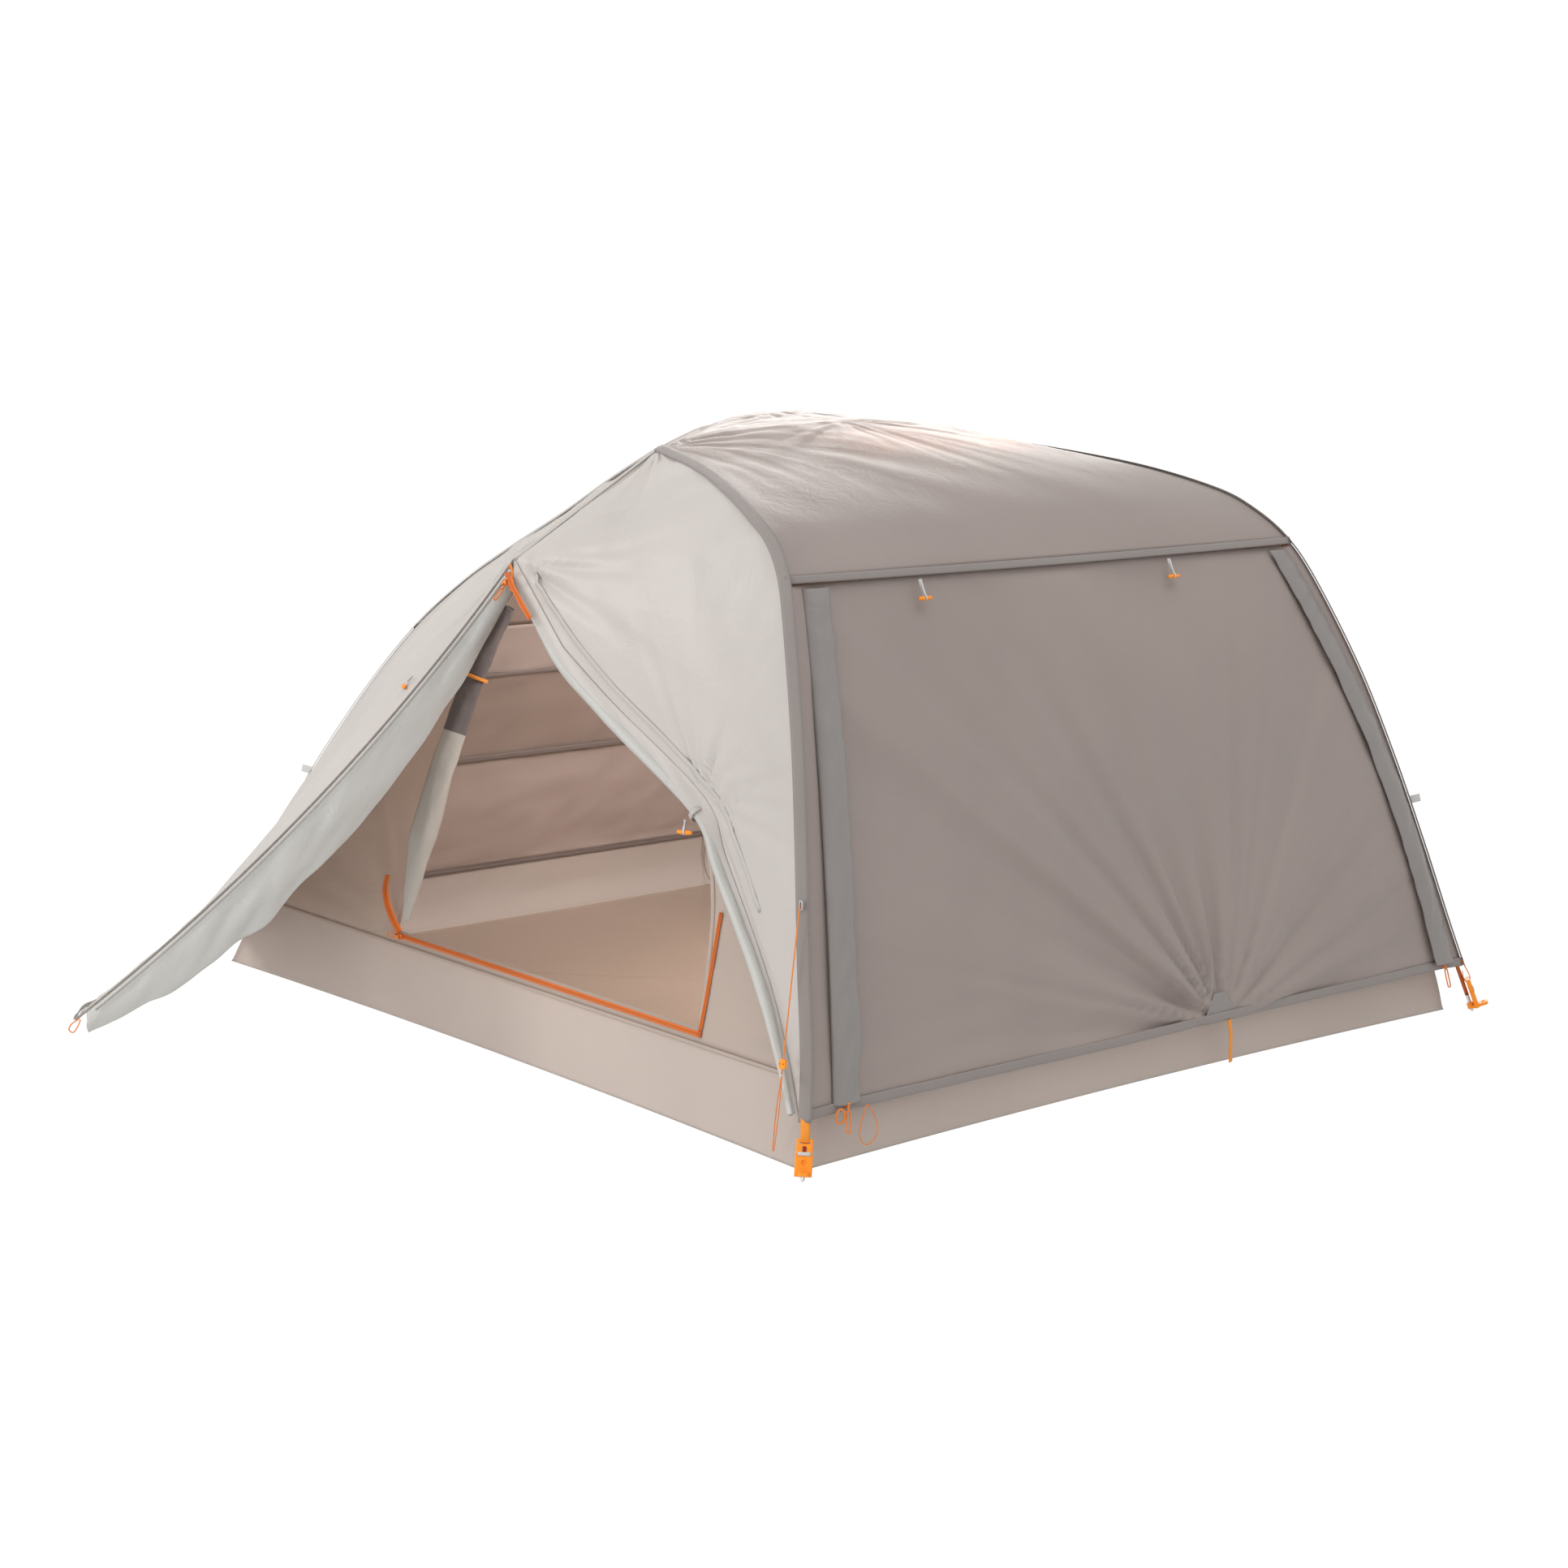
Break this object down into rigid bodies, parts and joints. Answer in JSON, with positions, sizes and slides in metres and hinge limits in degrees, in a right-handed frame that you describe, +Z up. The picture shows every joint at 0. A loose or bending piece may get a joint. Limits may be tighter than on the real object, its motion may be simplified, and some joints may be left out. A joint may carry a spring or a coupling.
{
  "type": "pole-frame tent",
  "caption": "Fly-covered dome tent on bent poles with corner feet, an inner body with a tub floor and a zipped porch shown open.",
  "frame": {"origin": "on the ground under the middle of the floor", "axes": "+Z up, -Y towards the porch and doorway, +X towards the taller head end"},
  "size_m": [2.416, 2.8327, 1.3823],
  "materials": {
    "anodised_pole": "satin orange anodised",
    "bare_metal": "brushed",
    "hub_plastic": "moulded, matt",
    "elastic_cord": "braided sheath",
    "orange_plastic": "moulded, satin",
    "orange_metal": "satin coating",
    "orange_cord": "braided",
    "tub_fabric": "coated plain weave",
    "body_fabric": "sheer plain weave and mesh",
    "pale_fabric": "sheer plain weave, rolled",
    "zip_tape": "zip coil on tape",
    "dark_fabric": "coated plain weave",
    "light_fly_fabric": "coated plain weave",
    "webbing": "woven tape",
    "fly_fabric": "coated plain weave"
  },
  "bodies": {
    "tent": {"pole_front_right": "anodised_pole", "pole_front_left": "anodised_pole", "pole_rear_right": "anodised_pole", "pole_rear_left": "anodised_pole", "ridge_pole": "anodised_pole", "brow_pole": "anodised_pole", "shock_cords": "elastic_cord", "pole_tips": "bare_metal", "pole_ferrules": "bare_metal", "hub_front": "hub_plastic", "hub_rear": "hub_plastic", "brow_swivel": "hub_plastic", "foot_front_right": "orange_plastic", "foot_front_left": "orange_plastic", "foot_rear_right": "orange_plastic", "foot_rear_left": "orange_plastic", "floor_tub": "tub_fabric", "body_front": "body_fabric", "body_rear": "body_fabric", "body_right": "body_fabric", "body_left": "body_fabric", "body_roof": "body_fabric", "pole_clips": "orange_plastic", "door_roll": "pale_fabric", "door_zip": "zip_tape", "wall_cord": "body_fabric", "fly_roof": "fly_fabric", "fly_right": "fly_fabric", "fly_left": "fly_fabric", "fly_rear": "fly_fabric", "fly_front": "light_fly_fabric", "porch_left": "light_fly_fabric", "porch_edge_flap": "light_fly_fabric", "porch_roll": "pale_fabric", "porch_zip": "zip_tape", "side_zip_front": "zip_tape", "side_zip_rear": "zip_tape", "storm_flap_front": "dark_fabric", "storm_flap_rear": "dark_fabric", "hem_patch": "dark_fabric", "guy_tabs": "webbing", "corner_line": "orange_cord"},
    "buckle_front_right": {"buckle_front_right": "orange_plastic"},
    "buckle_front_left": {"buckle_front_left": "orange_plastic"},
    "buckle_rear_right": {"buckle_rear_right": "orange_plastic"},
    "buckle_rear_left": {"buckle_rear_left": "orange_plastic"},
    "slider_side_front": {"slider_side_front": "orange_metal"},
    "pull_side_front": {"pull_side_front": "orange_cord"},
    "slider_side_rear": {"slider_side_rear": "orange_metal"},
    "pull_side_rear": {"pull_side_rear": "orange_cord"},
    "slider_door": {"slider_door": "orange_metal"},
    "pull_door": {"pull_door": "orange_cord"},
    "slider_porch": {"slider_porch": "orange_metal"},
    "pull_porch": {"pull_porch": "orange_cord"},
    "toggle_side_front": {"toggle_side_front": "orange_plastic"},
    "toggle_side_rear": {"toggle_side_rear": "orange_plastic"},
    "toggle_porch": {"toggle_porch": "orange_plastic"},
    "toggle_roll": {"toggle_roll": "orange_plastic"},
    "toggle_door": {"toggle_door": "orange_plastic"},
    "line_adjuster": {"line_adjuster": "orange_plastic"}
  },
  "joints": [
    {"name": "unclip_front_right", "type": "slide", "parent": "tent", "child": "buckle_front_right", "axis": [-0.2287, 0.2674, 0.936], "range_m": [0, 0.028]},
    {"name": "unclip_front_left", "type": "slide", "parent": "tent", "child": "buckle_front_left", "axis": [0.437, 0.2999, 0.848], "range_m": [0, 0.028]},
    {"name": "unclip_rear_right", "type": "slide", "parent": "tent", "child": "buckle_rear_right", "axis": [-0.2287, -0.2674, 0.936], "range_m": [0, 0.028]},
    {"name": "unclip_rear_left", "type": "slide", "parent": "tent", "child": "buckle_rear_left", "axis": [0.437, -0.2999, 0.848], "range_m": [0, 0.028]},
    {"name": "unzip_side_front", "type": "hinge", "parent": "tent", "child": "slider_side_front", "pos_m": [-1.71476, 0.32655, -0.62933], "axis": [-0.4028, -0.9137, 0.0531], "range_deg": [0, 17.77]},
    {"name": "swing_pull_side_front", "type": "hinge", "parent": "slider_side_front", "child": "pull_side_front", "pos_m": [1.16192, -0.89589, 0.12577], "axis": [0, 0.9893, -0.1456], "range_deg": [-100, 0]},
    {"name": "unzip_side_rear", "type": "hinge", "parent": "tent", "child": "slider_side_rear", "pos_m": [-1.4351, -0.54255, -0.59859], "axis": [0.4989, -0.8665, -0.0184], "range_deg": [0, 18.64]},
    {"name": "swing_pull_side_rear", "type": "hinge", "parent": "slider_side_rear", "child": "pull_side_rear", "pos_m": [1.16192, 0.93489, 0.12578], "axis": [0, 0.9906, 0.1365], "range_deg": [-100, 0]},
    {"name": "zip_door_sill", "type": "slide", "parent": "tent", "child": "slider_door", "axis": [1, -0.0086, 0], "range_m": [0, 1.12]},
    {"name": "swing_pull_door", "type": "hinge", "parent": "slider_door", "child": "pull_door", "pos_m": [-0.392, -0.94202, 0.186], "axis": [0, 0, -1], "range_deg": [-100, 0]},
    {"name": "zip_porch", "type": "hinge", "parent": "tent", "child": "slider_porch", "pos_m": [-1.248, -4.34782, 3.89891], "axis": [-0.9399, 0.3415, -0.0035], "range_deg": [0, 15.17]},
    {"name": "swing_pull_porch", "type": "hinge", "parent": "slider_porch", "child": "pull_porch", "pos_m": [0.02443, -0.90214, 1.04039], "axis": [-0.2915, 0.8058, -0.5155], "range_deg": [-100, 0]},
    {"name": "swing_toggle_side_front", "type": "hinge", "parent": "tent", "child": "toggle_side_front", "pos_m": [0.81883, -0.412, 1.08], "axis": [0, 1, 0], "range_deg": [-100, 0]},
    {"name": "swing_toggle_side_rear", "type": "hinge", "parent": "tent", "child": "toggle_side_rear", "pos_m": [0.81883, 0.335, 1.08], "axis": [0, 1, 0], "range_deg": [-100, 0]},
    {"name": "swing_toggle_porch", "type": "hinge", "parent": "tent", "child": "toggle_porch", "pos_m": [-0.16899, -1.0207, 0.83125], "axis": [0.8843, -0.4669, 0.0089], "range_deg": [-100, 0]},
    {"name": "swing_toggle_roll", "type": "hinge", "parent": "tent", "child": "toggle_roll", "pos_m": [0.661, -0.905, 0.61], "axis": [0.9397, 0.342, 0], "range_deg": [-100, 0]},
    {"name": "swing_toggle_door", "type": "hinge", "parent": "tent", "child": "toggle_door", "pos_m": [-0.352, -0.775, 0.818], "axis": [1, 0, 0], "range_deg": [-100, 0]},
    {"name": "slide_adjuster", "type": "slide", "parent": "tent", "child": "line_adjuster", "axis": [-0.145, 0.257, 0.9555], "range_m": [-0.008, 0.18]}
  ]
}
